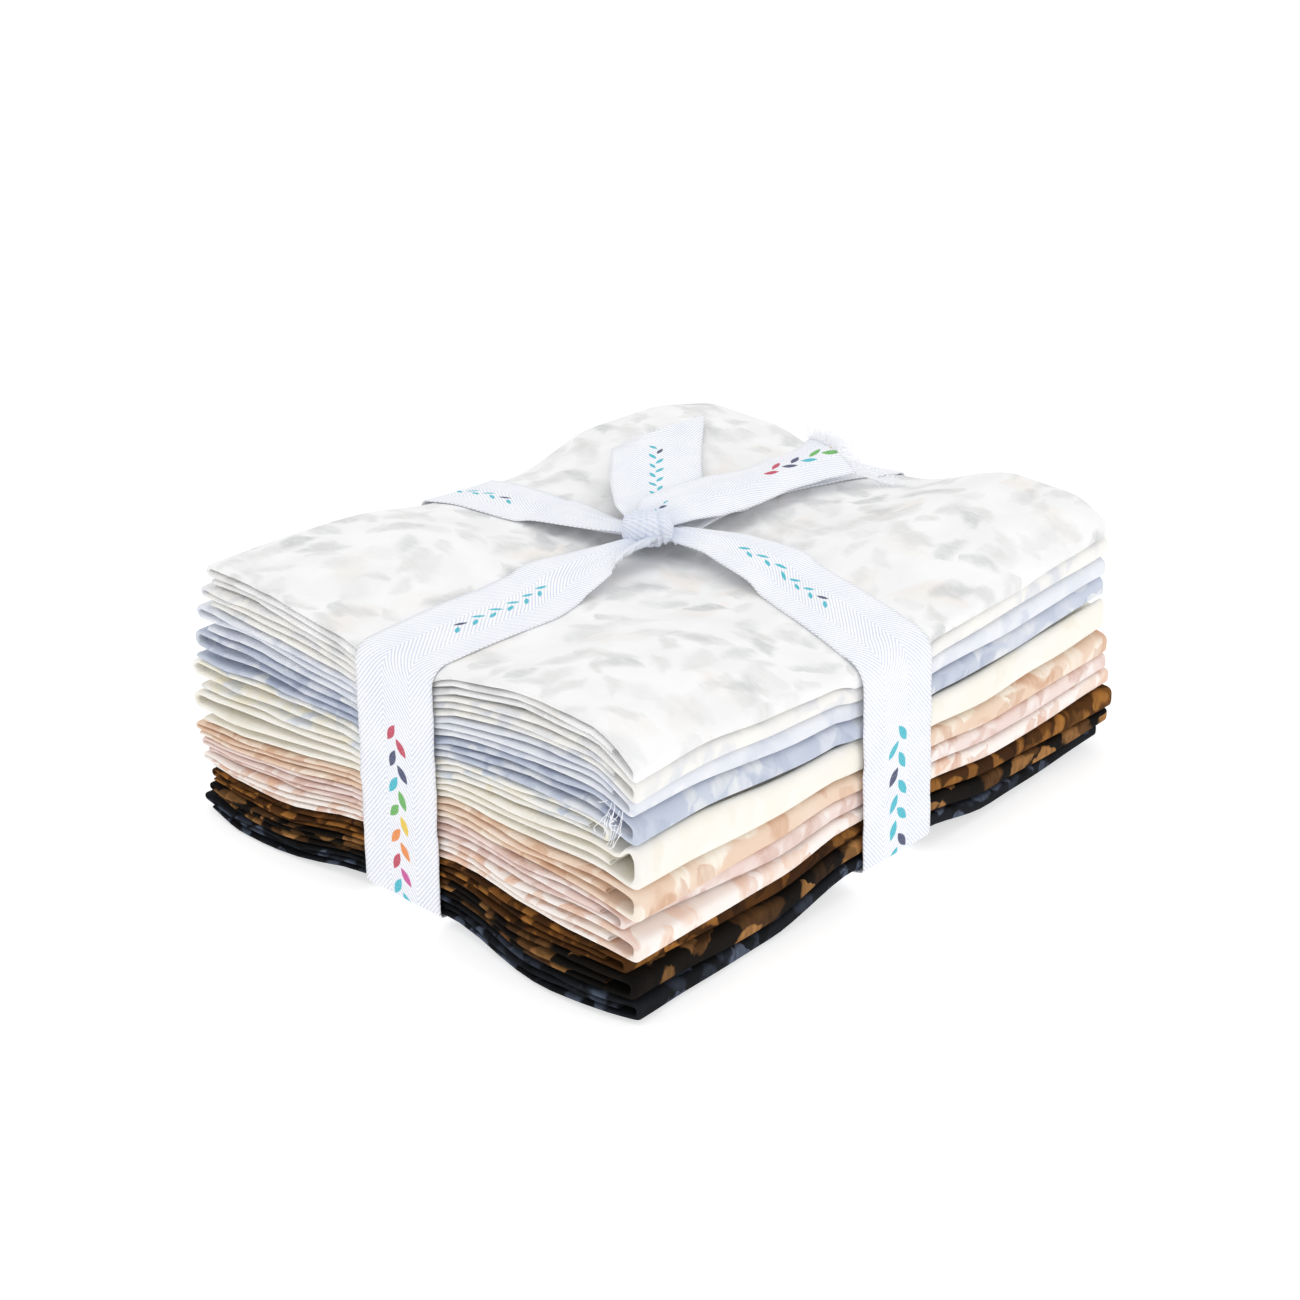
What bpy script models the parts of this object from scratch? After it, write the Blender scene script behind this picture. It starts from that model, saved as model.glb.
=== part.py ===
"""A bundle of twelve fat quarters of quilting cotton, tied both ways with one length of twill tape.

Each fat quarter is folded in thirds along its length into a strip, and the strip is folded in thirds
again, so one folded edge wraps the front and the other folds show at the ends. One layer of a solid
here stands for the strip's three plies.

Frame: origin at the bottom centre, X along the folded fronts, Y towards the back, Z up. The tables are
in millimetres, and the meshes are in metres.
"""

import math

import bmesh
import bpy
from mathutils import Vector

# Cut and folded sizes, mm
QUARTER_LENGTH = 559.0
QUARTER_WIDTH = 457.0
FOLDED_LENGTH = QUARTER_LENGTH / 3
FOLDED_WIDTH = QUARTER_WIDTH / 3
PIECE_GAP = 0.3
LAYER_MOST = 1.7
LAYER_LEAST = 1.0
LAYER_GAP = 0.3

# Tape, mm
TAPE_WIDTH = 27.0
TAPE_THICKNESS = 1.0
LENGTHWISE_Y = 3.0
KNOT_CENTRE = (-2.5, 5.0, 73.4)
KNOT_SIZE = (13.5, 9.0, 8.0)
KNOT_TURN = math.radians(-47)
GATHERED_WIDTH = 9.0

# The middle of the finished outline in the tables' frame, mm
CENTRE_X = 0.7
CENTRE_Y = 3.3
MM = 0.001

LEFT, RIGHT = -FOLDED_LENGTH / 2, FOLDED_LENGTH / 2
FRONT, BACK = -FOLDED_WIDTH / 2, FOLDED_WIDTH / 2

# Heights of the stack's top and underside, mm: it swells between the tapes and is drawn in under them
COLUMNS_X = (LEFT, -70.0, -45.0, -13.0, 15.0, 45.0, 70.0, RIGHT)
TOP_ROWS = {
    FRONT: (66.5, 68.0, 66.0, 64.0, 64.0, 65.5, 67.5, 69.0),
    -62.0: (75.0, 73.0, 71.0, 66.0, 66.0, 71.0, 73.5, 74.5),
    -45.0: (76.0, 75.0, 73.0, 67.0, 67.0, 73.0, 75.0, 74.5),
    -12.0: (70.5, 70.0, 68.5, 65.5, 65.5, 68.0, 67.0, 64.5),
    18.0: (68.5, 69.0, 68.0, 65.5, 65.5, 68.0, 66.5, 61.5),
    45.0: (72.0, 73.0, 73.0, 67.0, 67.0, 72.0, 71.0, 67.0),
    62.0: (73.0, 73.0, 72.0, 67.0, 66.0, 71.5, 71.0, 67.0),
    BACK: (72.5, 72.5, 71.0, 65.0, 63.5, 70.0, 69.0, 64.5),
}
UNDER_ROWS = {
    FRONT: (0.6, 0.2, 0.3, 6.4, 6.4, 2.0, 2.2, 3.2),
    -62.0: (0.5, 0.0, 0.0, 3.0, 3.0, 0.0, 0.0, 1.0),
    -45.0: (0.0, 0.0, 0.0, 1.2, 1.2, 0.0, 0.0, 0.5),
    -12.0: (2.5, 1.2, 1.2, 1.2, 1.2, 1.2, 1.2, 3.0),
    18.0: (2.5, 1.2, 1.2, 1.2, 1.2, 1.2, 1.2, 3.0),
    45.0: (0.0, 0.0, 0.0, 1.2, 1.2, 0.0, 0.0, 0.5),
    62.0: (0.0, 0.0, 0.0, 2.4, 2.4, 0.0, 0.0, 1.0),
    BACK: (1.0, 0.5, 1.0, 5.0, 5.0, 1.5, 1.5, 2.5),
}
INNER_ROWS_Y = (-68.5, -62.0, -45.0, -12.0, 18.0, 45.0, 62.0)

# Each fat quarter from the top down, mm. The thicknesses are at the front fold's left end, middle and
# right end and at the back. The rest say how far each side lies out (+) or in (-) from the folded size.
# name, linear colour, thick left, thick mid, thick right, thick back,
# front left, front mid, front right, left, right, back
QUARTERS = (
    ("01_white", (0.86, 0.85, 0.82), 4.2, 4.2, 4.9, 6.2, -0.5, -1.0, -1.0, 0.0, -1.5, -2.5),
    ("02_cream_white", (0.85, 0.83, 0.77), 5.0, 4.1, 5.0, 6.5, 0.0, -1.0, -1.5, 0.5, -1.0, 0.5),
    ("03_lavender_white", (0.76, 0.78, 0.85), 4.0, 5.0, 5.8, 7.0, -1.5, -1.2, -1.0, 0.5, -1.5, 3.5),
    ("04_blue_grey", (0.47, 0.55, 0.70), 6.6, 5.6, 5.4, 9.0, 0.0, -0.6, -1.0, 1.5, -1.5, 5.0),
    ("05_cream_blue", (0.79, 0.80, 0.72), 3.9, 3.9, 3.9, 9.3, -8.0, -6.5, -6.5, 1.0, -2.0, 7.0),
    ("06_plain_cream", (0.89, 0.84, 0.64), 7.9, 5.8, 6.4, 9.3, 0.5, -0.6, -1.5, 2.0, 0.0, 7.5),
    ("07_peach", (0.83, 0.57, 0.40), 7.8, 5.4, 6.2, 4.2, 0.5, -0.8, 0.0, 2.0, 1.0, 7.5),
    ("08_blush_pink", (0.78, 0.55, 0.47), 3.9, 4.6, 5.1, 4.2, -4.0, -1.2, -1.0, 2.0, 2.5, 5.0),
    ("09_peach_white", (0.88, 0.70, 0.57), 6.3, 4.1, 4.5, 4.1, 0.5, -0.8, -1.0, 2.5, 4.5, 4.0),
    ("10_golden_brown", (0.15, 0.055, 0.012), 3.9, 4.3, 6.4, 4.0, -3.0, -1.2, 0.5, 3.0, 5.0, 1.0),
    ("11_dark_brown", (0.012, 0.007, 0.004), 5.9, 5.3, 4.5, 4.0, -0.2, -0.6, -1.0, 3.3, 5.0, 1.0),
    ("12_charcoal", (0.013, 0.016, 0.024), 5.1, 4.1, 3.9, 4.0, 0.2, -0.8, -2.4, 3.6, 3.5, 4.0),
)
COUNT = len(QUARTERS)
TAPE_COLOUR = (0.87, 0.88, 0.93)

# The four arms of the tape on top, from the knot outwards, mm: how far out, its middle's shift to the
# side, its width, and its least height above the frame's floor
LEFT_ARM = ((4, 2.0, GATHERED_WIDTH, 71.5), (16, 6.0, 15, 70.0), (32, 7.0, 24, 68.5), (50, 4.0, 27, 0))
RIGHT_ARM = (
    (4, 1.0, GATHERED_WIDTH, 71.5),
    (16, 6.0, 12, 69.5),
    (32, 11.0, 15, 68.3),
    (50, 12.0, 18, 0),
    (72, 9.0, 22, 0),
)
FRONT_ARM = ((4, 3.5, GATHERED_WIDTH, 71.5), (18, 9.5, 17, 70.0), (33, 9.5, 23, 68.8), (52, 5.0, 25, 0))
BACK_ARM = ((4, -1.0, GATHERED_WIDTH, 71.5), (18, -2.0, 12, 69.5), (34, -2.5, 18, 68.2), (52, -3.0, 22, 0))

# The two free ends, mm: middle of each row, its half width across, and the height of its two edges
# x, y, across x, across y, z of the left edge, z of the right edge
BACK_TAIL = (
    (-1.0, 6.0, 3.0, -3.2, 72.4, 72.4),
    (5.5, 11.5, 5.0, -4.2, 71.6, 71.6),
    (14.2, 17.6, 8.8, -7.0, 71.2, 71.2),
    (27.1, 29.4, 9.6, -8.2, 71.4, 71.2),
    (38.4, 39.8, 9.6, -8.2, 72.0, 71.6),
    (51.4, 50.7, 18.6, -0.7, 72.2, 72.0),
)
SIDE_TAIL = (
    (-1.0, 5.0, 3.4, -3.0, 74.2, 73.6),
    (9.5, 9.5, -1.0, -8.5, 73.6, 72.8),
    (29.6, 8.0, -3.3, -10.1, 72.6, 71.2),
    (50.2, 7.4, -3.8, -9.8, 70.2, 70.9),
    (65.0, 5.7, -3.9, -10.0, 70.8, 70.8),
    (71.4, 3.6, -2.6, -10.5, 73.6, 70.6),
)


def clear_scene():
    for obj in list(bpy.data.objects):
        bpy.data.objects.remove(obj)


def between(places, values, at):
    """The value at a place, straight between the listed ones and carried on past the ends."""
    i = 0
    while i < len(places) - 2 and at > places[i + 1]:
        i += 1
    share = (at - places[i]) / (places[i + 1] - places[i])
    return values[i] + share * (values[i + 1] - values[i])


def height(rows, x, y):
    places = tuple(rows)
    return between(places, [between(COLUMNS_X, rows[place], x) for place in places], y)


def shares(x, y):
    """Each fat quarter's share of the stack's height at a point, from the top down."""
    front = [between((LEFT, -13.0, 15.0, RIGHT), (q[2], q[3], q[3], q[4]), x) for q in QUARTERS]
    back = [q[5] for q in QUARTERS]
    even = [1.0] * COUNT
    parts = [[part / sum(parts) for part in parts] for parts in (front, even, back)]
    if y < -12.0:
        weight = between((FRONT, -62.0, -45.0, -12.0), (1.0, 0.55, 0.2, 0.0), y)
        return [weight * a + (1 - weight) * b for a, b in zip(parts[0], parts[1])]
    weight = between((-12.0, 45.0, BACK), (0.0, 0.6, 1.0), y)
    return [weight * a + (1 - weight) * b for a, b in zip(parts[2], parts[1])]


def band(index, x, y):
    """The lowest and highest point that a fat quarter may take at (x, y)."""
    under, top = height(UNDER_ROWS, x, y), height(TOP_ROWS, x, y)
    parts = shares(x, y)
    high = top - sum(parts[:index]) * (top - under) - PIECE_GAP / 2
    low = top - sum(parts[: index + 1]) * (top - under) + PIECE_GAP / 2
    return low, high


def layer_faces(index, x, y):
    """Heights of the three layers' faces, from the bottom layer's underside to the top layer's top."""
    low, high = band(index, x, y)
    layer = max(LAYER_LEAST, min(LAYER_MOST, (high - low - 2 * LAYER_GAP) / 3))
    middle = (low + high) / 2
    return low, low + layer, middle - layer / 2, middle + layer / 2, high - layer, high


def arc(index, x, y_round, reach, first, last, steps):
    """Points of a fold's half ellipse from one of the layers' faces to another, at every y between them."""
    points = []
    for step in range(1, steps):
        turn = math.pi * step / steps
        y = y_round + reach * math.sin(turn)
        faces = layer_faces(index, x, y)
        middle, half = (faces[first] + faces[last]) / 2, (faces[first] - faces[last]) / 2
        points.append((y, middle + half * math.cos(turn)))
    return points


def swelling(places, first, at):
    """How far a side's swelling shows at a place along it: none where the tape draws it in."""
    return max(0.0, min(1.0, between(places, (first, 0.8, 1.0, 0.0, 0.0, 1.0, 1.0, 0.6), at)))


def swelling_left(y):
    return swelling((FRONT, -62.0, -45.0, -12.0, 18.0, 45.0, 62.0, BACK), 0.0, y)


def swelling_right(y):
    return swelling((FRONT, -62.0, -45.0, -12.0, 18.0, 45.0, 62.0, BACK), 0.9, y)


def swelling_back(x):
    return swelling((LEFT - 60, LEFT - 20, -45.0, -18.0, 15.0, 45.0, RIGHT + 20, RIGHT + 60), 0.0, x)


def section(index, x):
    """The folded strip across a plane of constant x, as pairs of (y, z) on its two faces.

    It runs from the bottom layer's cut edge at the back, round the front fold, back along the top
    layer, round the back fold and forwards in the middle to the edge that is tucked in.
    """
    quarter = QUARTERS[index]
    out = between((LEFT, -13.0, 15.0, RIGHT), (quarter[6], quarter[7], quarter[7], quarter[8]), x)
    low, high = band(index, x, FRONT - out)
    fold = min(0.55 * (high - low), 4.2)
    y_front = FRONT - out + fold
    y_back = BACK + min(quarter[11], 0.0) + max(quarter[11], 0.0) * swelling_back(x)
    faces = layer_faces(index, x, y_back)
    loop = 0.5 * (faces[5] - faces[2])
    y_loop = y_back - loop
    y_free = y_back - 1.5 - 1.3 * (index % 3)
    wall = faces[1] - faces[0]

    rows = [max(y, y_front + 0.5 + 0.5 * i) for i, y in enumerate(INNER_ROWS_Y)]

    def run(outer, inner, start, end):
        pairs = []
        for y in [start, *(rows if start < end else reversed(rows)), end]:
            faces = layer_faces(index, x, y)
            pairs.append(((y, faces[outer]), (y, faces[inner])))
        return pairs

    def fold_round(y, reach, inner_reach, outer, inner, steps):
        return list(
            zip(arc(index, x, y, reach, *outer, steps), arc(index, x, y, inner_reach, *inner, steps))
        )

    pairs = run(0, 1, y_free, y_front)
    pairs += fold_round(y_front, -fold, wall - fold, (0, 5), (1, 4), 6)
    pairs += run(5, 4, y_front, y_loop)
    pairs += fold_round(y_loop, loop, max(loop - wall, 0.25), (5, 2), (4, 3), 4)
    pairs += run(2, 3, y_loop, y_front + 0.2)
    return pairs


def place(x, y, z):
    return Vector(((x - CENTRE_X) * MM, (y - CENTRE_Y) * MM, z * MM))


def add_object(name, points, triangles, colour, roughness):
    mesh = bpy.data.meshes.new(name)
    mesh.from_pydata(points, [], triangles)
    solid = bmesh.new()
    solid.from_mesh(mesh)
    bmesh.ops.recalc_face_normals(solid, faces=solid.faces)
    solid.to_mesh(mesh)
    solid.free()
    obj = bpy.data.objects.new(name, mesh)
    bpy.context.scene.collection.objects.link(obj)
    material = bpy.data.materials.new(name)
    material.use_nodes = True
    shader = material.node_tree.nodes["Principled BSDF"]
    shader.inputs["Base Color"].default_value = (*colour, 1.0)
    shader.inputs["Roughness"].default_value = roughness
    shader.inputs["Metallic"].default_value = 0.0
    mesh.materials.append(material)
    return obj


def fat_quarter(index):
    """One folded fat quarter: its section carried along X, with both ends closed."""
    name, colour = QUARTERS[index][:2]
    left, right = QUARTERS[index][9:11]
    sections = [section(index, x) for x in COLUMNS_X]
    points = []
    for x, pairs in zip(COLUMNS_X, sections):
        for y, z in [outer for outer, _ in pairs] + [inner for _, inner in reversed(pairs)]:
            if x == LEFT:
                out = -left * swelling_left(y)
            elif x == RIGHT:
                out = min(right, 0.0) + max(right, 0.0) * swelling_right(y)
            else:
                out = 0.0
            points.append(place(x + out, y, z))
    count = len(sections[0])
    size = 2 * count
    triangles = []
    for i in range(len(COLUMNS_X) - 1):
        for j in range(size):
            k = (j + 1) % size
            a, b = i * size + j, i * size + k
            c, d = a + size, b + size
            # one diagonal direction seen from above, so that facing sides stay a gap apart
            if points[a].y <= points[b].y:
                triangles += [(a, b, d), (a, d, c)]
            else:
                triangles += [(a, b, c), (b, d, c)]
    for first in (0, (len(COLUMNS_X) - 1) * size):
        for j in range(count - 1):
            a, b = first + j, first + j + 1
            c, d = first + size - 2 - j, first + size - 1 - j
            triangles += [(a, b, c), (a, c, d)]
    return add_object("fat_quarter_" + name, points, triangles, colour, 0.9)


def strip(name, rows):
    """A closed strip of tape through rows of points, each row its under edge and its upper edge."""
    points, triangles = [], []
    for under, upper in rows:
        points += [place(*point) for point in (*under, *reversed(upper))]
    size = 2 * len(rows[0][0])
    for i in range(len(rows) - 1):
        for j in range(size):
            a, b = i * size + j, i * size + (j + 1) % size
            triangles += [(a, b, b + size), (a, b + size, a + size)]
    half = size // 2
    for first in (0, (len(rows) - 1) * size):
        for j in range(half - 1):
            a, b, c, d = first + j, first + j + 1, first + size - 2 - j, first + size - 1 - j
            triangles += [(a, b, c), (a, c, d)]
    return add_object(name, points, triangles, TAPE_COLOUR, 0.8)


def arm_rows(arm, heading, along_x):
    """Rows of a tape arm on top from the knot outwards, each (out, side, width, least height)."""
    rows = []
    knot_out = KNOT_CENTRE[0] if along_x else KNOT_CENTRE[1]
    for out, side, width, least in arm:
        rows.append((knot_out + heading * out, side, width, least))
    return rows


def wrap_rows(along_x, first_arm, second_arm, sides, shifts):
    """Rows of one wrap: out along an arm, down one side, underneath, up the other side and back.

    sides are the places of the two faces that it goes down, as the distance where the tape touches,
    and shifts are the tape's middle at the first face's top and foot, then the second's foot and top.
    """

    def on_top(out, side, width, least):
        points = []
        for share in (-0.5, 0.0, 0.5):
            across = side + share * width
            x, y = (out, across) if along_x else (across, out)
            points.append((x, y, max(height(TOP_ROWS, x, y) + PIECE_GAP, least)))
        upper = [(x, y, z + TAPE_THICKNESS) for x, y, z in points]
        return points, upper

    def down_side(face, heading, z, shift, width):
        points, upper = [], []
        for share in (-0.5, 0.0, 0.5):
            across = shift + share * width
            inner, outer = face, face + heading * TAPE_THICKNESS
            points.append((inner, across, z) if along_x else (across, inner, z))
            upper.append((outer, across, z) if along_x else (across, outer, z))
        return points, upper

    def underneath(out, shift):
        points = []
        for share in (-0.5, 0.0, 0.5):
            across = shift + share * TAPE_WIDTH
            x, y = (out, across) if along_x else (across, out)
            points.append((x, y, height(UNDER_ROWS, x, y) - PIECE_GAP / 2))
        upper = [(x, y, max(z - TAPE_THICKNESS, 0.0)) for x, y, z in points]
        return points, upper

    def turned(face, heading, shift, top):
        """Two rows that round the corner between a flat run and a side."""
        rows = []
        for inwards, drop, out_x, out_z in ((0.5, 0.0, 0.4, 0.95), (0.0, 1.0, 0.95, 0.4)):
            points, upper = [], []
            for share in (-0.5, 0.0, 0.5):
                across = shift + share * TAPE_WIDTH
                out = face - heading * inwards
                x, y = (out, across) if along_x else (across, out)
                rows_used = TOP_ROWS if top else UNDER_ROWS
                sense = 1.0 if top else -1.0
                z = height(rows_used, x, y) + sense * (PIECE_GAP / 2 - drop)
                lift = sense * out_z * TAPE_THICKNESS
                push = heading * out_x * TAPE_THICKNESS
                points.append((x, y, z))
                upper.append((x + push, y, z + lift) if along_x else (x, y + push, z + lift))
            rows.append((points, upper))
        return rows

    first = arm_rows(first_arm, -1, along_x)
    second = arm_rows(second_arm, 1, along_x)
    (near, far), (near_top, near_foot, far_foot, far_top) = sides, shifts
    stations = COLUMNS_X[1:-1] if along_x else INNER_ROWS_Y
    rows = [on_top(*row) for row in first]
    for out in reversed([out for out in (near + 3.0, *stations) if out < first[-1][0] - 3.0]):
        shift = between((near, first[-1][0]), (near_top, first[-1][1]), out)
        rows.append(on_top(out, shift, TAPE_WIDTH, 0))
    rows += turned(near, -1, near_top, True)
    for share in (0.1, 0.35, 0.65, 0.9):
        shift = near_top + share * (near_foot - near_top)
        rows.append(down_side(near, -1, 62.0 - share * 54.0, shift, TAPE_WIDTH))
    rows += reversed(turned(near, -1, near_foot, False))
    for out in (near + 3.0, *stations, far - 3.0):
        shift = between((near, far), (near_foot, far_foot), out)
        rows.append(underneath(out, shift))
    rows += turned(far, 1, far_foot, False)
    for share in (0.9, 0.65, 0.35, 0.1):
        shift = far_top + share * (far_foot - far_top)
        rows.append(down_side(far, 1, 58.0 - share * 50.0, shift, TAPE_WIDTH))
    rows += reversed(turned(far, 1, far_top, True))
    for out in reversed([out for out in (*stations, far - 3.0) if out > second[-1][0] + 3.0]):
        shift = between((second[-1][0], far), (second[-1][1], far_top), out)
        rows.append(on_top(out, shift, TAPE_WIDTH, 0))
    rows += [on_top(*row) for row in reversed(second)]
    return rows


def tail_rows(tail):
    rows = []
    for x, y, across_x, across_y, left_z, right_z in tail:
        under = []
        for share in (-1.0, 0.0, 1.0):
            z = left_z + (share + 1) / 2 * (right_z - left_z)
            under.append((x + share * across_x, y + share * across_y, z))
        rows.append((under, [(x, y, z + TAPE_THICKNESS) for x, y, z in under]))
    return rows


def knot():
    """The knot: a rounded lump with a band round its waist."""
    solid = bmesh.new()
    bmesh.ops.create_icosphere(solid, subdivisions=3, radius=1.0)
    for vertex in solid.verts:
        for axis in range(3):
            value = vertex.co[axis]
            vertex.co[axis] = math.copysign(abs(value) ** 0.6, value) * 0.5 * KNOT_SIZE[axis]
        waist = 1.0 - 0.18 * max(0.0, abs(vertex.co.x) / (0.5 * KNOT_SIZE[0]) - 0.45)
        vertex.co.y *= waist
        vertex.co.z *= waist
    cos, sin = math.cos(KNOT_TURN), math.sin(KNOT_TURN)
    points = []
    for vertex in solid.verts:
        x, y, z = vertex.co
        points.append(
            place(
                KNOT_CENTRE[0] + x * cos - y * sin,
                KNOT_CENTRE[1] + x * sin + y * cos,
                KNOT_CENTRE[2] + z,
            )
        )
    triangles = [tuple(vertex.index for vertex in face.verts) for face in solid.faces]
    solid.free()
    return add_object("knot_lump", points, triangles, TAPE_COLOUR, 0.8)


def twill_tape():
    """One length of tape, in one piece: two wraps that cross underneath, the knot and two free ends."""
    lengthwise = wrap_rows(
        True, LEFT_ARM, RIGHT_ARM, (LEFT - 0.6, RIGHT + 0.6), (LENGTHWISE_Y,) * 3 + (4.5,)
    )
    crosswise = wrap_rows(
        False, FRONT_ARM, BACK_ARM, (FRONT + 0.1, BACK + 0.6), (-1.6, 3.0, 0.0, -4.0)
    )
    tape = strip("tie_tape", lengthwise)
    parts = (
        strip("crosswise_wrap", crosswise),
        knot(),
        strip("back_tail", tail_rows(BACK_TAIL)),
        strip("side_tail", tail_rows(SIDE_TAIL)),
    )
    for part in parts:
        part.hide_render = True
        part.display_type = "WIRE"
        join = tape.modifiers.new("join " + part.name, "BOOLEAN")
        join.operation = "UNION"
        join.solver = "EXACT"
        join.object = part
    return tape


clear_scene()
for number in range(COUNT):
    fat_quarter(number)
twill_tape()
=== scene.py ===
import math

import bmesh
import bpy
import numpy as np
from mathutils import Matrix, Vector


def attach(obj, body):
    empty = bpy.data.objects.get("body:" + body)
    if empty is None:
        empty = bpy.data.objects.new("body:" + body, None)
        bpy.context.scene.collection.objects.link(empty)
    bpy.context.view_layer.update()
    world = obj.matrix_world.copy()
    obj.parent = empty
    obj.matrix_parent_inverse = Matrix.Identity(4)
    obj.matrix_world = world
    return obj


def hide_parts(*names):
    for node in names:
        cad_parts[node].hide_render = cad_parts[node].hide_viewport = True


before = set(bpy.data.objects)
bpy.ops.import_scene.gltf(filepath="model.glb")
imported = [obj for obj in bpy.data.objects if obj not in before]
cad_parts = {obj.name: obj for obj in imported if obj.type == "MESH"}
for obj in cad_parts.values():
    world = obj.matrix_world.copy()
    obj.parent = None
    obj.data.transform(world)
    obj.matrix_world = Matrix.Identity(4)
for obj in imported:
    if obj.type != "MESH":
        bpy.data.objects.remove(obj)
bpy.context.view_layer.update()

# Camera, floor and light. The bundle stands on a white sweep, seen from its near corner and a little
# above, in broad soft light that comes from overhead and from both sides.
MM = 0.001
CAMERA_AZIMUTH = math.radians(-47.083)
CAMERA_ELEVATION = math.radians(25.768)
CAMERA_DISTANCE = 748.9
CAMERA_AIM_RIGHT, CAMERA_AIM_UP = -4.74, 32.51
CAMERA_AIM_SHIFT = Vector((-0.7, -3.3, 3.0))

towards = Vector(
    (
        math.sin(CAMERA_AZIMUTH) * math.cos(CAMERA_ELEVATION),
        -math.cos(CAMERA_AZIMUTH) * math.cos(CAMERA_ELEVATION),
        math.sin(CAMERA_ELEVATION),
    )
)
rightwards = Vector((math.cos(CAMERA_AZIMUTH), math.sin(CAMERA_AZIMUTH), 0.0))
upwards = towards.cross(rightwards)
aim = CAMERA_AIM_SHIFT + rightwards * CAMERA_AIM_RIGHT + upwards * CAMERA_AIM_UP

camera = bpy.data.objects.new("camera", bpy.data.cameras.new("camera"))
camera.location = (aim + towards * CAMERA_DISTANCE) * MM
camera.rotation_euler = towards.to_track_quat("Z", "Y").to_euler()
camera.data.lens = 76.57
camera.data.sensor_width = 36.0
camera.data.clip_start, camera.data.clip_end = 0.01, 20.0
bpy.context.scene.collection.objects.link(camera)
bpy.context.scene.camera = camera
bpy.context.scene.view_settings.view_transform = "Standard"


def area_light(name, place, aim_at, size, watts, colour):
    """A square soft light at a place in metres, turned to face a point."""
    light = bpy.data.lights.new(name, "AREA")
    light.shape, light.size, light.energy, light.color = "SQUARE", size, watts, colour
    lamp = bpy.data.objects.new(name, light)
    lamp.location = place
    lamp.rotation_euler = (Vector(place) - Vector(aim_at)).to_track_quat("Z", "Y").to_euler()
    bpy.context.scene.collection.objects.link(lamp)


area_light("overhead_softbox", (-0.10, 0.15, 0.95), (0, 0, 0), 0.9, 1.95, (1.0, 1.0, 1.0))
area_light("left_softbox", (-1.0, -0.25, 0.45), (0, 0, 0.03), 0.5, 0.45, (0.97, 0.98, 1.0))
area_light("right_softbox", (0.25, -1.0, 0.5), (0, 0, 0.03), 0.5, 1.5, (1.0, 1.0, 1.0))

world = bpy.data.worlds.new("studio_white")
world.use_nodes = True
world.node_tree.nodes["Background"].inputs["Color"].default_value = (1.0, 1.0, 1.0, 1.0)
world.node_tree.nodes["Background"].inputs["Strength"].default_value = 0.79
bpy.context.scene.world = world


class Amount:
    """A number, a colour or a place that varies over a surface, for use in Python sums."""

    def __init__(self, finish, socket):
        self.finish, self.socket = finish, socket

    def maths(self, operation, *others):
        kind = "ShaderNodeMath"
        return self.finish.node(kind, {"operation": operation}, dict(enumerate((self, *others))))["Value"]

    def __add__(self, other):
        return self.maths("ADD", other)

    def __sub__(self, other):
        return self.maths("SUBTRACT", other)

    def __mul__(self, other):
        return self.maths("MULTIPLY", other)

    def __truediv__(self, other):
        return self.maths("DIVIDE", other)

    def __rsub__(self, other):
        return (self * -1.0) + other

    __radd__, __rmul__ = __add__, __mul__

    def size(self):
        return self.maths("ABSOLUTE")

    def over(self, low, high):
        """0 below low, 1 above high and smooth between."""
        settings = {"interpolation_type": "SMOOTHSTEP"}
        values = {"Value": self, "From Min": low, "From Max": high}
        return self.finish.node("ShaderNodeMapRange", settings, values)["Result"]


class Finish:
    """One material, built from nodes."""

    def __init__(self, name, **constants):
        self.material = bpy.data.materials.new(name)
        self.material.use_nodes = True
        self.tree = self.material.node_tree
        self.shader = self.tree.nodes["Principled BSDF"]
        for socket, value in constants.items():
            self.shader.inputs[socket.replace("_", " ")].default_value = value

    def node(self, kind, settings=None, values=None):
        """Adds a node, sets it, then gives its inputs their values or links. Its outputs come back by name."""
        node = self.tree.nodes.new(kind)
        for setting, value in (settings or {}).items():
            setattr(node, setting, value)
        for socket, value in (values or {}).items():
            self.feed(node.inputs[socket], value)
        return {output.name: Amount(self, output) for output in node.outputs if output.enabled}

    def feed(self, socket, value):
        if isinstance(value, Amount):
            self.tree.links.new(value.socket, socket)
        elif isinstance(value, tuple) and len(value) == 3 and len(socket.default_value) == 4:
            socket.default_value = (*value, 1.0)
        else:
            socket.default_value = value

    def give(self, **values):
        for socket, value in values.items():
            self.feed(self.shader.inputs[socket.replace("_", " ")], value)

    def mix(self, first, second, share):
        """A colour between two, by a share from 0 to 1."""
        values = {0: share, 6: first, 7: second}
        node = self.tree.nodes.new("ShaderNodeMix")
        node.data_type = "RGBA"
        for socket, value in values.items():
            self.feed(node.inputs[socket], value)
        return Amount(self, node.outputs[2])

    def move(self, operation, first, second):
        """Vector Math on places."""
        return self.node("ShaderNodeVectorMath", {"operation": operation}, {0: first, 1: second})["Vector"]

    def cloud(self, place, size, detail=2.0, roughness=0.5):
        """Soft noise of a size in the place's own units, from 0 to 1."""
        values = {"Vector": place, "Scale": 1.0 / size, "Detail": detail, "Roughness": roughness}
        return self.node("ShaderNodeTexNoise", {"noise_dimensions": "3D"}, values)

    def bump(self, height, strength, distance):
        values = {"Height": height, "Strength": strength, "Distance": distance}
        self.give(Normal=self.node("ShaderNodeBump", {}, values)["Normal"])


def paint(red, green, blue):
    """A colour as a screen shows it, 0 to 255, as linear light."""
    shares = (red / 255, green / 255, blue / 255)
    return tuple(s / 12.92 if s <= 0.04045 else ((s + 0.055) / 1.055) ** 2.4 for s in shares)


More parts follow.
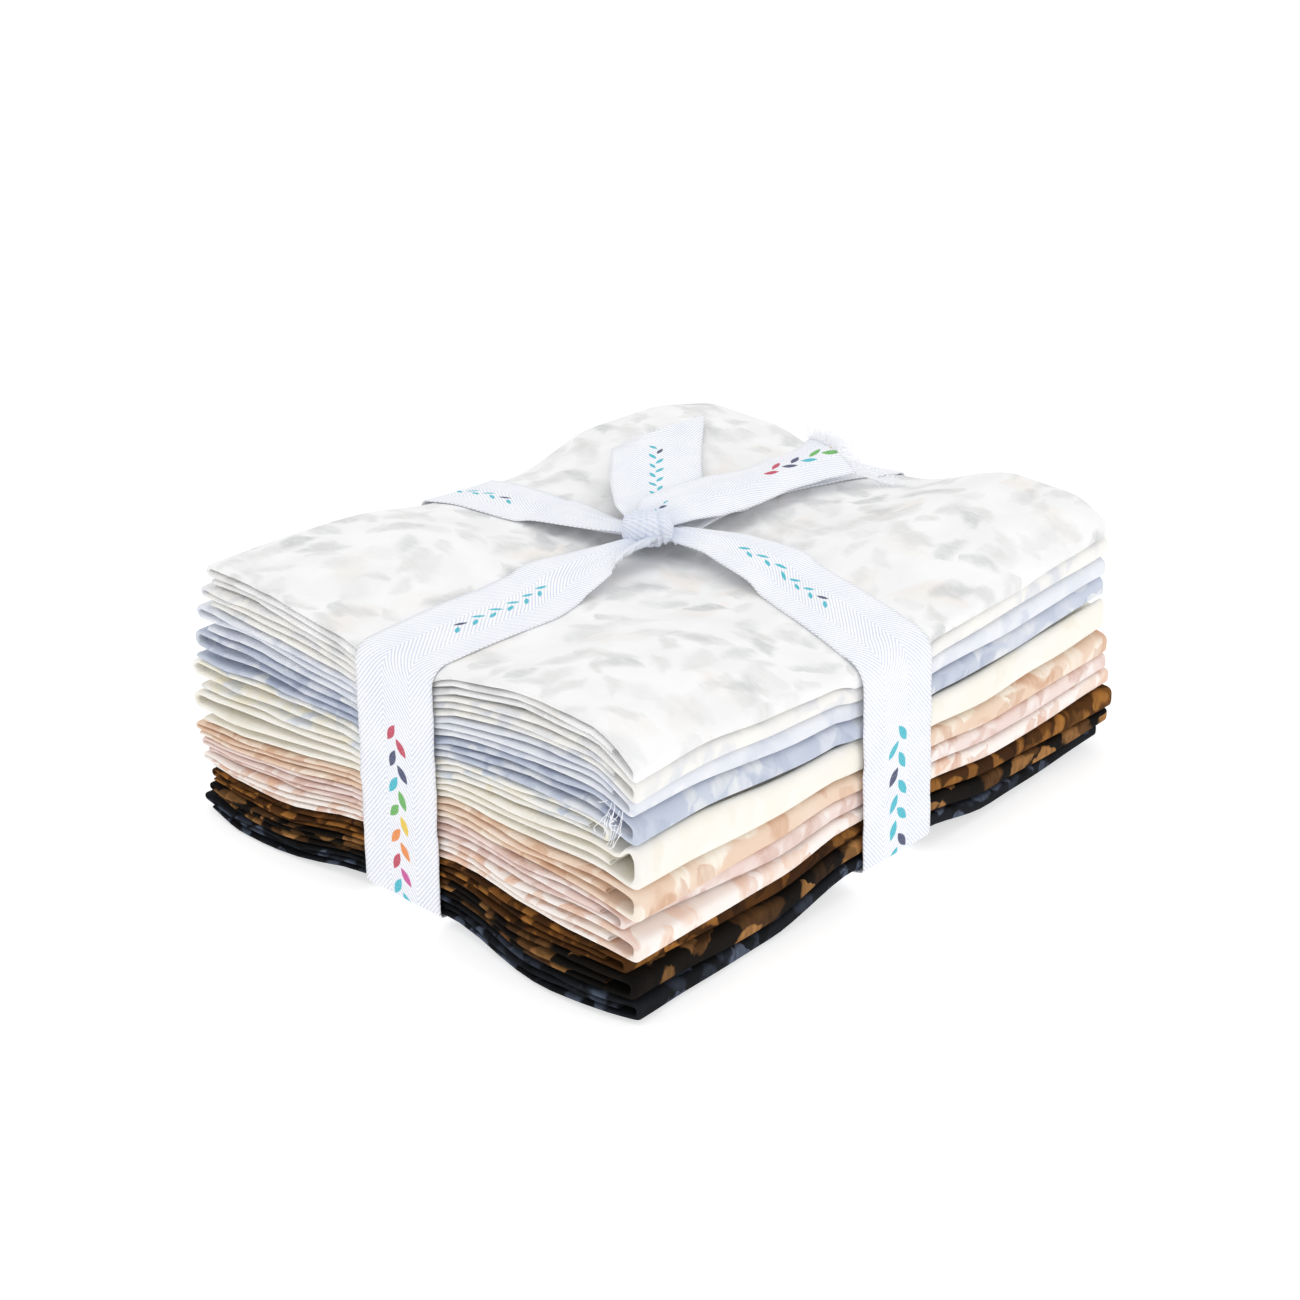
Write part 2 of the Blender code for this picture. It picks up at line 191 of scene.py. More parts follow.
floor_mesh = bpy.data.meshes.new("floor")
floor_shape = bmesh.new()
bmesh.ops.create_circle(floor_shape, cap_ends=True, segments=96, radius=9.0)
floor_shape.to_mesh(floor_mesh)
floor_shape.free()
floor = bpy.data.objects.new("floor", floor_mesh)
floor.location.z = -0.0002
bpy.context.scene.collection.objects.link(floor)
floor_finish = Finish("white_paper", Roughness=0.9, Specular_IOR_Level=0.0, Emission_Strength=0.6)
floor_place = floor_finish.node("ShaderNodeTexCoord")["Object"]
floor_grain = floor_finish.cloud(floor_place, 0.3)["Fac"]
floor_finish.give(Base_Color=floor_finish.mix((0.56, 0.56, 0.565), (0.59, 0.59, 0.59), floor_grain))
floor_finish.shader.inputs["Emission Color"].default_value = (1.0, 1.0, 1.0, 1.0)
floor_mesh.materials.append(floor_finish.material)

# The fat quarters: quarter-yard cuts of printed quilting cotton, 457 x 559 mm. Each is folded in thirds
# into a strip of three plies, its cut edges inside, and the strip in thirds again, so one smooth fold
# faces the front and the folded edges show at the ends. They lie free on each other under the tape.
QUARTER_LENGTH, QUARTER_WIDTH = 559.0, 457.0
LEFT, RIGHT = -QUARTER_LENGTH / 6, QUARTER_LENGTH / 6
FRONT, BACK = -QUARTER_WIDTH / 6, QUARTER_WIDTH / 6
CENTRE = Vector((0.7, 3.3, 0.0))
PIECE_GAP = 0.42
LAYER_GAP = 0.3
LAYER_LEAST, LAYER_MOST = 1.0, 1.7
CLOTH_THICKNESS = 0.26
# The piece whose front fold puffs up over the one above it, which lies further in
PUFFED = 5

# Heights of the stack's top and underside, mm: rows from front to back, at the columns from left to right
COLUMNS_X = (LEFT, -70.0, -45.0, -13.0, 15.0, 45.0, 70.0, RIGHT)
ROWS_Y = (FRONT, -62.0, -45.0, -12.0, 18.0, 45.0, 62.0, BACK)
TOP = (
    (66.5, 68.0, 66.0, 64.0, 64.0, 65.5, 67.5, 69.0),
    (75.0, 73.0, 71.0, 66.0, 66.0, 71.0, 73.5, 74.5),
    (76.0, 75.0, 73.0, 67.0, 67.0, 73.0, 75.0, 74.5),
    (70.5, 70.0, 68.5, 65.5, 65.5, 68.0, 67.0, 64.5),
    (68.5, 69.0, 68.0, 65.5, 65.5, 68.0, 66.5, 61.5),
    (72.0, 73.0, 73.0, 67.0, 67.0, 72.0, 71.0, 67.0),
    (73.0, 73.0, 72.0, 67.0, 66.0, 71.5, 71.0, 67.0),
    (72.5, 72.5, 71.0, 65.0, 63.5, 70.0, 69.0, 64.5),
)
UNDER = (
    (0.6, 0.2, 0.3, 6.4, 6.4, 2.0, 2.2, 3.2),
    (0.5, 0.0, 0.0, 3.0, 3.0, 0.0, 0.0, 1.0),
    (0.0, 0.0, 0.0, 1.2, 1.2, 0.0, 0.0, 0.5),
    (2.5, 1.2, 1.2, 1.2, 1.2, 1.2, 1.2, 3.0),
    (2.5, 1.2, 1.2, 1.2, 1.2, 1.2, 1.2, 3.0),
    (0.0, 0.0, 0.0, 1.2, 1.2, 0.0, 0.0, 0.5),
    (0.0, 0.0, 0.0, 2.4, 2.4, 0.0, 0.0, 1.0),
    (1.0, 0.5, 1.0, 5.0, 5.0, 1.5, 1.5, 2.5),
)

# name, thick left, thick mid, thick right, thick back, front left, front mid, front right, left, right, back
QUARTERS = (
    ("01_white", 4.2, 4.2, 4.9, 6.2, -0.5, -1.0, -1.0, 0.0, -1.5, -2.5),
    ("02_cream_white", 5.0, 4.1, 5.0, 6.5, 0.0, -1.0, -1.5, 0.5, -1.0, 0.5),
    ("03_lavender_white", 4.0, 5.0, 5.8, 7.0, -1.5, -1.2, -1.0, 0.5, -1.5, 3.5),
    ("04_blue_grey", 6.6, 5.6, 5.4, 9.0, 0.0, -0.6, -1.0, 1.5, -1.5, 5.0),
    ("05_cream_blue", 3.9, 3.9, 3.9, 9.3, -8.0, -6.5, -6.5, 1.0, -2.0, 7.0),
    ("06_plain_cream", 7.9, 5.8, 6.4, 9.3, 0.5, -0.6, -1.5, 2.0, 0.0, 7.5),
    ("07_peach", 7.8, 5.4, 6.2, 4.2, 0.5, -0.8, 0.0, 2.0, 1.0, 7.5),
    ("08_blush_pink", 3.9, 4.6, 5.1, 4.2, -4.0, -1.2, -1.0, 2.0, 2.5, 5.0),
    ("09_peach_white", 6.3, 4.1, 4.5, 4.1, 0.5, -0.8, -1.0, 2.5, 4.5, 4.0),
    ("10_golden_brown", 3.9, 4.3, 6.4, 4.0, -3.0, -1.2, 0.5, 3.0, 5.0, 1.0),
    ("11_dark_brown", 5.9, 5.3, 4.5, 4.0, -0.2, -0.6, -1.0, 3.3, 5.0, 1.0),
    ("12_charcoal", 5.1, 4.1, 3.9, 4.0, 0.2, -0.8, -2.4, 3.6, 3.5, 4.0),
)
COUNT = len(QUARTERS)


def curve(places, values, at):
    """Smooth values through the listed ones, with no overshoot, and carried on straight past the ends."""
    at = np.asarray(at, float)
    flat = at.ravel()
    places = np.asarray(places, float)
    values = np.asarray(values, float)
    if values.ndim == 1:
        values = np.repeat(values[:, None], flat.size, axis=1)
    step = np.diff(places)
    rise = np.diff(values, axis=0) / step[:, None]
    product, total = rise[1:] * rise[:-1], rise[1:] + rise[:-1]
    inner = np.where(product > 0, 2 * product / np.where(product > 0, total, 1.0), 0.0)
    slope = np.vstack([rise[:1], inner, rise[-1:]])
    i = np.clip(np.searchsorted(places, flat) - 1, 0, len(step) - 1)
    n = np.arange(flat.size)
    share = (flat - places[i]) / step[i]
    t = np.clip(share, 0.0, 1.0)
    first, last = slope[i, n] * step[i], slope[i + 1, n] * step[i]
    smooth = (2 * t**3 - 3 * t**2 + 1) * values[i, n] + (t**3 - 2 * t**2 + t) * first
    smooth += (3 * t**2 - 2 * t**3) * values[i + 1, n] + (t**3 - t**2) * last
    past = share - t
    return (smooth + past * np.where(past > 0, last, first)).reshape(at.shape)


def height(table, x, y):
    rows = np.array([curve(COLUMNS_X, row, x).ravel() for row in table])
    return curve(ROWS_Y, rows, y)


def waves(at, period, seed):
    """An uneven wave between about -1 and 1, the same for the same seed."""
    turns = np.random.default_rng(seed).uniform(0, 2 * math.pi, 4)
    parts = ((1.0, 0.5), (1.7, 0.3), (2.9, 0.2), (4.6, 0.12))
    return sum(s * np.sin(2 * math.pi * k * at / period + a) for (k, s), a in zip(parts, turns))


def ripple(x, y, period, seed):
    """Uneven low swells over the bundle, between about -1 and 1."""
    random = np.random.default_rng(seed)
    total = 0.0
    for strength in (0.4, 0.3, 0.3):
        heading, turn = random.uniform(0, 2 * math.pi, 2)
        length = period * random.uniform(0.7, 1.5)
        total = total + strength * np.sin(
            2 * math.pi * (x * math.cos(heading) + y * math.sin(heading)) / length + turn
        )
    return total


# Creases in the top piece, mm: from, to, how far it bows, depth, width
# x from, y from, x to, y to, bow, depth, width
CREASES = (
    (30.8, -8.9, 33.8, -22.0, -0.7, 1.1, 1.15),
    (25.0, -12.5, 30.6, -25.3, -1.9, 1.1, 1.15),
    (42.5, -18.0, 44.6, -25.7, -1.0, 1.1, 1.2),
    (53.2, -21.8, 66.3, -28.1, 0.0, 0.7, 1.4),
    (50.0, -28.0, 58.7, -33.7, 0.0, 0.7, 1.3),
    (29.8, -27.2, 40.6, -41.6, 1.2, 0.55, 1.5),
    (41.6, -33.1, 42.5, -40.0, 0.3, 1.0, 1.5),
    (60.0, -3.0, 54.0, -13.0, 0.8, 0.6, 1.4),
    (41.5, 2.1, 45.7, -2.4, 0.2, 0.8, 1.4),
    (-22.0, -9.0, -13.0, -16.0, -1.0, 0.5, 2.2),
    (-34.0, -8.0, -20.0, -26.0, 1.5, 0.35, 2.2),
    (-44.0, 17.0, -20.0, 22.0, -1.4, 0.4, 2.2),
    (14.0, 40.0, 30.0, 34.0, 1.2, 0.45, 2.0),
    (24.0, 58.0, 52.0, 52.0, -1.5, 0.4, 2.2),
    (40.0, 34.0, 60.0, 30.0, 1.0, 0.4, 2.0),
    (-20.0, 44.0, -6.0, 30.0, 1.0, 0.35, 2.2),
)


def creased(x, y):
    """How far the creases lower the top piece, each a soft trough with a low ridge at one side."""
    total = 0.0
    for x_from, y_from, x_to, y_to, bow, depth, width in CREASES:
        long = math.hypot(x_to - x_from, y_to - y_from)
        along_x, along_y = (x_to - x_from) / long, (y_to - y_from) / long
        share = ((x - x_from) * along_x + (y - y_from) * along_y) / long
        off = (y - y_from) * along_x - (x - x_from) * along_y - bow * 4 * share * (1 - share)
        fade = np.clip((0.5 - abs(share - 0.5)) / 0.3 + 0.35, 0, 1) ** 2
        total = total + depth * fade * (np.exp(-((off / width) ** 2)) - 0.5 * np.exp(-(((off - 1.9 * width) / width) ** 2)))
    return total


# Where the tape rounds off the stack's top rim, mm: the tape's middle there and its bend's radius
LEFT_BEND_Y, LEFT_BEND = 3.0, 5.0
FRONT_BEND_X, FRONT_BEND = -1.6, 7.0
LEFT_FACE, FRONT_FACE = LEFT - 0.75, FRONT - 0.25


def pressed(x, y):
    """How far the tape presses the top down beside the left and front rims."""
    total = 0.0
    for inwards, off, bend in ((x - LEFT_FACE, y - LEFT_BEND_Y, LEFT_BEND), (y - FRONT_FACE, x - FRONT_BEND_X, FRONT_BEND)):
        short = np.clip(bend - np.clip(inwards, 0.8, None), 0.0, None)
        drop = bend - np.sqrt(bend**2 - short**2) + 0.3 * np.clip(short, 0.0, 1.0)
        total = total + drop * np.clip(1 - (abs(off) - 12.5) / 9.0, 0.0, 1.0) ** 2
    return total


def boundary(number, x, y):
    """The height of the surface between two fat quarters, counted from 0 at the stack's top."""
    top, under = height(TOP, x, y) - pressed(x, y), height(UNDER, x, y)
    at_front = curve((FRONT, -62.0, -45.0, -12.0, BACK), (1.0, 0.55, 0.2, 0.0, 0.0), y)
    at_back = np.clip(curve((-12.0, 45.0, BACK), (0.0, 0.6, 1.0), y), 0.0, None)
    front = [curve((LEFT, -13.0, 15.0, RIGHT), (q[1], q[2], q[2], q[3]), x) for q in QUARTERS]
    share_front = sum(front[:number]) / sum(front)
    share_back = sum(q[4] for q in QUARTERS[:number]) / sum(q[4] for q in QUARTERS)
    share = number / COUNT
    share = share + at_front * (share_front - number / COUNT) + at_back * (share_back - number / COUNT)
    if number == 0:
        return top - creased(x, y)
    wander = 0.0 if number == COUNT else 0.38 * ripple(x, y, 46.0, 40 + number)
    surface = top - share * (top - under) + wander
    if number == PUFFED:
        full = np.clip((FRONT + 6.2 - y) / 4.0, 0.0, 1.0)
        surface = surface + full * full * (3 - 2 * full) * (boundary(number - 1, x, y) - surface)
    return surface


def layer_faces(index, x, y):
    """Heights of the three layers' faces, from the bottom layer's underside to the top layer's top."""
    x, y = np.broadcast_arrays(x, y)
    high = boundary(index, x, y) - PIECE_GAP / 2
    low = boundary(index + 1, x, y) + PIECE_GAP / 2
    layer = np.clip((high - low - 2 * LAYER_GAP) / 3, LAYER_LEAST, LAYER_MOST)
    middle = (low + high) / 2
    return low, low + layer, middle - layer / 2, middle + layer / 2, high - layer, high


def swelling(places, first, at):
    """How far a side's swelling shows at a place along it: none where the tape draws it in."""
    return np.clip(curve(places, (first, 0.8, 1.0, 0.0, 0.0, 1.0, 1.0, 0.6), at), 0.0, 1.0)


def swelling_side(first, y):
    return swelling(ROWS_Y, first, y)


def swelling_back(x):
    return swelling((LEFT - 60, LEFT - 20, -45.0, -18.0, 15.0, 45.0, RIGHT + 20, RIGHT + 60), 0.0, x)


def swelling_front(x):
    return np.clip(curve((-60.0, -40.0, -14.0, 14.0, 40.0, 60.0), (1.0, 0.9, 0.0, 0.0, 0.9, 1.0), x), 0.0, 1.0)


def strip_section(index, x, cells, hidden_cells):
    """The folded strip over x, as (outer y, outer z, inner y, inner z, distance along the cloth).

    It runs from the bottom layer's end at the back, round the front fold, back along the top layer,
    round the back fold and forwards in the middle to the edge that is tucked in.
    """
    q = QUARTERS[index]
    x = x[:, None]
    out = curve((LEFT, -13.0, 15.0, RIGHT), (q[5], q[6], q[6], q[7]), x)
    free = swelling_front(x)
    uneven = waves(x, 120.0, 300 + index)
    out = out + 0.5 * free * uneven - 0.2 * (1 - free) * abs(uneven)
    faces = layer_faces(index, x, FRONT - out)
    fold = np.minimum(0.55 * (faces[5] - faces[0]), 4.2)
    wall = faces[1] - faces[0]
    y_front = FRONT - out + fold
    y_back = BACK + min(q[10], 0.0) + max(q[10], 0.0) * swelling_back(x) + 0.5 * waves(x, 90.0, 600 + index)
    faces = layer_faces(index, x, y_back)
    loop = 0.5 * (faces[5] - faces[2])
    y_loop = y_back - loop
    y_free = y_back - 1.5 - 1.3 * (index % 3) + 0.6 * waves(x, 70.0, 700 + index)
    y_tuck = y_front + 1.5 + 0.8 * waves(x, 80.0, 800 + index)

    def run(outer, inner, start, end, cells):
        share = np.linspace(0.0, 1.0, cells + 1)[None, :-1]
        share = share - 0.08 * np.sin(2 * math.pi * share)
        y = start + (end - start) * share
        faces = layer_faces(index, x, y)
        return y, faces[outer], y, faces[inner]

    def fold_round(y_round, reach, inner_reach, outer, inner, steps, fullness):
        turn = np.linspace(0.0, math.pi, steps + 1)[None, :-1]
        rise = np.sign(np.cos(turn)) * np.abs(np.cos(turn)) ** fullness
        found = []
        for length, (first, last), slack in ((reach, outer, 0.0), (inner_reach, inner, 0.3)):
            y = y_round + length * np.sin(turn) ** fullness
            faces = layer_faces(index, x, y)
            half = (faces[first] - faces[last]) / 2 * (1 - slack * np.sin(turn))
            found += [y, (faces[first] + faces[last]) / 2 + half * rise]
        return found

    parts = (
        run(0, 1, y_free, y_front, hidden_cells),
        fold_round(y_front, -fold, 0.6 * (wall - fold), (0, 5), (1, 4), 14, 0.52),
        run(5, 4, y_front, y_loop, cells),
        fold_round(y_loop, loop, np.maximum(loop - wall, 0.25), (5, 2), (4, 3), 8, 1.0),
        run(2, 3, y_loop, y_tuck, hidden_cells),
    )
    return [np.hstack([np.broadcast_to(part[i], (x.size, part[i].shape[1])) for part in parts]) for i in range(4)]


PLY_OFF = 0.62
END_RADIUS = 0.75


def ply_places(cells, hidden_cells):
    """Places across the cloth's three plies: (x, offset from the strip's middle as a share of its half)."""
    across, hidden = (np.linspace(0.0, 1.0, count + 1)[:-1] for count in (cells, hidden_cells))
    across, hidden = (share - 0.08 * np.sin(2 * math.pi * share) for share in (across, hidden))
    left, right = LEFT + END_RADIUS, RIGHT - END_RADIUS / 2
    tucked_edge, loose_edge = LEFT + 2.4, RIGHT - 2.0
    turn = np.linspace(0.0, math.pi, 7)[:-1]
    x = [tucked_edge + (right - tucked_edge) * hidden, right + END_RADIUS / 2 * np.sin(turn)]
    off = [np.zeros(hidden_cells), PLY_OFF / 2 - PLY_OFF / 2 * np.cos(turn)]
    x += [right + (left - right) * across, left - END_RADIUS * np.sin(turn)]
    off += [np.full(cells, PLY_OFF), PLY_OFF * np.cos(turn)]
    x += [left + (loose_edge - left) * hidden, [loose_edge]]
    off += [np.full(hidden_cells, -PLY_OFF), [-PLY_OFF]]
    return np.concatenate(x), np.concatenate(off)


def sheet_mesh(name, places, cloth_u, cloth_v):
    """A mesh of a grid of places in mm, with each point's place on the flat cloth as its UV in metres."""
    rows, columns = places.shape[:2]
    points = (places.reshape(-1, 3) - np.array(CENTRE)) * MM
    corner = (np.arange(rows - 1)[:, None] * columns + np.arange(columns - 1)[None, :]).ravel()
    quads = np.stack([corner, corner + columns, corner + columns + 1, corner + 1], axis=1)
    mesh = bpy.data.meshes.new(name)
    mesh.from_pydata(points.tolist(), [], quads.tolist())
    flat = np.stack(np.broadcast_arrays(cloth_u, cloth_v), axis=-1).reshape(-1, 2) * MM
    layer = mesh.uv_layers.new(name="cloth")
    layer.data.foreach_set("uv", flat[quads.ravel()].ravel())
    mesh.polygons.foreach_set("use_smooth", np.ones(len(quads), bool))
    return mesh


def distances(places, axis):
    """How far along the cloth each row or column lies, at the middle of the other way, mm."""
    middle = np.take(places, places.shape[1 - axis] // 2, axis=1 - axis)
    steps = np.linalg.norm(np.diff(middle, axis=0), axis=1)
    return np.concatenate([[0.0], np.cumsum(steps)])


def fat_quarter(index, cells, hidden_cells):
    name = QUARTERS[index][0]
    left, right = QUARTERS[index][8:10]
    x, off = ply_places(cells, hidden_cells)
    outer_y, outer_z, inner_y, inner_z = strip_section(index, x, cells, hidden_cells)
    half = off[:, None] / 2
    y = (0.5 + half) * outer_y + (0.5 - half) * inner_y
    z = (0.5 + half) * outer_z + (0.5 - half) * inner_z
    along = distances(np.stack([0 * y, y, z], axis=-1), 1)[None, :]
    free = swelling_side(0.0, y)
    uneven = waves(along, 130.0, 100 + index) + 0.35 * waves(along, 34.0, 130 + index)
    push_left = free * (left + 1.1 * uneven) - (1 - free) * (0.3 + 0.5 * abs(uneven))
    free = swelling_side(0.9, y)
    uneven = waves(along, 120.0, 200 + index)
    push_right = free * (right + 1.0 * uneven) if right > 0 else right + 0.8 * free * uneven
    near_left = np.clip(1 - (x[:, None] - LEFT) / 32.0, 0, 1) ** 2
    near_right = np.clip(1 - (RIGHT - x[:, None]) / 32.0, 0, 1) ** 2
    moved = x[:, None] - push_left * near_left + push_right * near_right
    places = np.stack([moved, y, z], axis=-1)
    mesh = sheet_mesh("fat_quarter_" + name, places, distances(places, 0)[:, None], distances(places, 1)[None, :])
    piece = bpy.data.objects.new("cloth_" + name, mesh)
    bpy.context.scene.collection.objects.link(piece)
    cloth = piece.modifiers.new("thickness", "SOLIDIFY")
    cloth.thickness = CLOTH_THICKNESS * MM
    cloth.offset = 0.0
    mesh.materials.append(cotton_print(index))
    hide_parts("fat_quarter_" + name)
    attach(piece, "root")
    return piece


# Each print: its ground and its cloud tone, then leaf-like brush marks in three tones with their cover
# name, ground, cloud, marks one, marks two, marks three, cover one, cover two, cover three, leaf length
PRINTS = (
    ("white", (250, 250, 250), (244, 244, 244), (209, 210, 211), (225, 225, 224), (241, 235, 229), 0.5, 0.7, 0.36, 16),
    ("cream white", (249, 247, 242), (243, 242, 240), (219, 222, 230), (232, 232, 234), (250, 249, 243), 0.55, 0.55, 0.4, 11),
    ("lavender white", (236, 238, 244), (228, 232, 240), (247, 248, 250), (211, 216, 230), (243, 243, 246), 0.55, 0.5, 0.5, 12),
    ("blue grey", (207, 213, 226), (195, 203, 219), (238, 239, 239), (174, 184, 204), (229, 232, 239), 0.6, 0.5, 0.45, 13),
    ("cream and blue", (250, 248, 243), (247, 245, 238), (203, 213, 229), (245, 238, 214), (214, 221, 231), 0.55, 0.5, 0.5, 11),
    ("plain cream", (250, 247, 239), (248, 244, 233), (253, 251, 246), (243, 237, 222), (246, 243, 238), 0.35, 0.4, 0.3, 14),
    ("peach", (238, 210, 187), (241, 219, 200), (254, 248, 236), (216, 175, 146), (250, 238, 224), 0.72, 0.5, 0.5, 15),
    ("blush pink", (240, 218, 211), (243, 227, 221), (252, 245, 241), (219, 186, 174), (248, 237, 231), 0.62, 0.55, 0.45, 12),
    ("white and peach", (252, 243, 237), (253, 247, 242), (238, 198, 170), (225, 184, 162), (247, 228, 214), 0.55, 0.45, 0.45, 11),
    ("golden brown", (60, 35, 14), (86, 53, 22), (172, 116, 56), (26, 16, 8), (134, 86, 38), 0.62, 0.5, 0.68, 10),
    ("dark brown", (18, 14, 11), (24, 19, 15), (178, 128, 76), (11, 9, 8), (120, 82, 46), 0.5, 0.4, 0.42, 13),
    ("charcoal", (20, 21, 24), (28, 30, 35), (92, 102, 121), (12, 12, 14), (58, 64, 77), 0.55, 0.4, 0.55, 10),
)
# How blurred the marks' edges are, from the top piece down
BLUR = (0.8, 0.8, 0.85, 0.55, 0.7, 0.8, 0.35, 0.5, 0.45, 0.4, 0.3, 0.4)


def leaves(finish, place, spacing, length, width, cover, shift, blur):
    """Leaf-like brush marks, at most one to a cell and each at its own angle, as (mask, tone)."""
    shifted = finish.move("ADD", place, (shift, 2.3 * shift, 0.0))
    settings = {"voronoi_dimensions": "2D", "feature": "F1"}
    cell = finish.node("ShaderNodeTexVoronoi", settings, {"Vector": shifted, "Scale": 1.0 / spacing})
    chance = finish.node("ShaderNodeSeparateColor", {}, {"Color": cell["Color"]})
    offset = finish.move("SUBTRACT", shifted, cell["Position"])
    turned = finish.node(
        "ShaderNodeVectorRotate", {"rotation_type": "Z_AXIS"}, {"Vector": offset, "Angle": chance["Red"] * 6.2832}
    )["Vector"]
    along = finish.node("ShaderNodeSeparateXYZ", {}, {"Vector": turned})
    far, across = along["X"] * (2.0 / length), along["Y"] * (2.0 / width)
    bend = far * far
    edge = (1.0 - bend) - (across - bend * 0.5).size()
    mask = edge.over(-0.2 * blur, 0.9 * blur) * chance["Green"].over(1.0 - cover - 0.04, 1.0 - cover + 0.04)
    return mask, chance["Blue"]


def cotton_print(index):
    name, ground, clouding, *tones, cover_one, cover_two, cover_three, length = PRINTS[index]
    tones = [paint(*tone) for tone in tones]
    finish = Finish("cotton " + name, Roughness=0.92, Specular_IOR_Level=0.12)
    cloth = finish.node("ShaderNodeUVMap", {"uv_map": "cloth"})["UV"]
    place = finish.node("ShaderNodeVectorMath", {"operation": "SCALE"}, {0: cloth, "Scale": 1000.0})["Vector"]
    place = finish.move("ADD", place, (731.0 * index, 217.0 * index, 0.0))
    drift = finish.cloud(place, 7.0, 3.0)["Color"]
    drift = finish.move("MULTIPLY", finish.move("SUBTRACT", drift, (0.5, 0.5, 0.5)), (6.5, 6.5, 0.0))
    brushed = finish.move("ADD", place, drift)
    streak = finish.cloud(finish.move("MULTIPLY", place, (1.0, 0.35, 1.0)), 1.6, 3.0, 0.6)["Fac"]
    colour = finish.mix(paint(*ground), paint(*clouding), finish.cloud(place, 16.0, 3.0)["Fac"].over(0.35, 0.65))
    layers = (
        (tones[2], cover_three, 1.5, 0.85, 19.0),
        (tones[1], cover_two, 1.15, 0.95, 7.0),
        (tones[0], cover_one, 1.0, 1.0, 0.0),
        (tones[1], cover_two * 0.8, 0.75, 0.9, 41.0),
    )
    cluster = finish.cloud(place, 24.0, 2.0)["Fac"].over(0.34, 0.54) * (0.55 if index < 3 else 0.2) + (0.45 if index < 3 else 0.8)
    for tone, cover, scale, strength, shift in layers:
        long = length * scale
        mask, shade = leaves(finish, brushed, long * 0.78, long, long * 0.46, cover, shift * 3.1, BLUR[index])
        mask = mask * (streak.over(0.25, 0.65) * 0.5 + 0.5) * (shade * 0.45 + 0.55) * strength * cluster
        colour = finish.mix(colour, tone, mask)
    finish.give(Base_Color=colour)
    threads = finish.move("MULTIPLY", place, (2.9, 2.7, 1.0))
    line = {"wave_type": "BANDS", "bands_direction": "X", "wave_profile": "SIN"}
    warp = finish.node("ShaderNodeTexWave", line, {"Vector": threads, "Scale": 1.0, "Distortion": 0.6})["Fac"]
    line["bands_direction"] = "Y"
    weft = finish.node("ShaderNodeTexWave", line, {"Vector": threads, "Scale": 1.0, "Distortion": 0.6})["Fac"]
    crumple = finish.cloud(place, 9.0, 4.0, 0.55)["Fac"]
    finish.bump(warp * weft * 0.05 + crumple * 0.5, 0.5, 0.0006)
    return finish.material


# The first is the piece that shows whole, and the rest show at their edges
fat_quarter(0, 150, 26)
for number in range(1, COUNT):
    fat_quarter(number, 52, 26)

# The tape: one length of 27 mm white herringbone twill, tied like a parcel's string. It goes round both
# ways, crosses itself underneath and is gathered into a knot on top, whose two ends are cut and frayed.
TAPE_WIDTH = 27.0
TAPE_THICKNESS = 0.34
FOOT_BEND = 1.5
KNOT_CENTRE = np.array((-2.5, 5.0, 73.4))
KNOT_HALVES = np.array((6.8, 5.0, 4.5))
KNOT_TURN = math.radians(-47)
ACROSS = np.linspace(-0.5, 0.5, 19)[None, :]

# Each arm on top, from the knot outwards, mm: how far out, its middle's shift, its width, its least height
LEFT_ARM = ((2, 1.5, 8, 72.0), (9, 4.0, 11, 71.4), (18, 6.2, 16, 70.3), (32, 7.0, 24, 69.0), (50, 4.0, 27, 60), (91, 3.0, 27, 60))
RIGHT_ARM = ((2, 1.0, 8, 72.0), (16, 7.4, 12, 69.7), (32, 11.0, 15, 68.6), (50, 12.0, 18, 60), (72, 9.5, 21, 60), (96, 7.0, 24, 60))
FRONT_ARM = ((2, 2.5, 8, 72.0), (9, 6.0, 12, 71.4), (18, 9.5, 17, 70.5), (33, 9.5, 23, 69.3), (52, 5.0, 25, 60), (81, -1.6, 27, 60))
BACK_ARM = ((2, -0.5, 8, 72.0), (18, -2.0, 12, 70.0), (34, -2.5, 18, 68.6), (52, -3.0, 22, 60), (73, -4.0, 26, 60))

# The free ends from the knot outwards, mm: the middle of each row, half its width as a vector, and the
# heights of its far and near edges
# x, y, half across x, half across y, far edge z, near edge z
BACK_TAIL = (
    (-1.0, 6.0, 3.0, -3.2, 73.0, 73.0),
    (5.5, 11.5, 5.4, -4.6, 73.0, 72.4),
    (14.2, 17.6, 8.8, -7.0, 72.6, 72.0),
    (27.1, 29.4, 9.6, -8.2, 72.4, 72.0),
    (38.4, 39.8, 9.6, -8.2, 73.0, 72.4),
    (51.4, 50.7, 18.6, -0.7, 73.2, 72.8),
)
SIDE_TAIL = (
    (-1.0, 5.0, 3.4, -3.0, 74.6, 74.0),
    (9.5, 9.5, -1.0, -8.5, 74.2, 73.4),
    (29.6, 8.0, -3.3, -10.1, 73.2, 71.8),
    (50.2, 7.4, -3.8, -9.8, 70.8, 71.4),
    (65.0, 5.7, -3.9, -10.0, 71.4, 71.3),
    (71.4, 3.6, -2.6, -10.5, 74.2, 71.1),
)


def gathers(across, seed):
    """Pleats across the tape, between about -1 and 1."""
    turns = np.random.default_rng(seed).uniform(0, 2 * math.pi, 3)
    return sum(s * np.sin(2 * math.pi * k * across + a) for (k, s), a in zip(((1.4, 0.5), (2.6, 0.4), (4.3, 0.22)), turns))


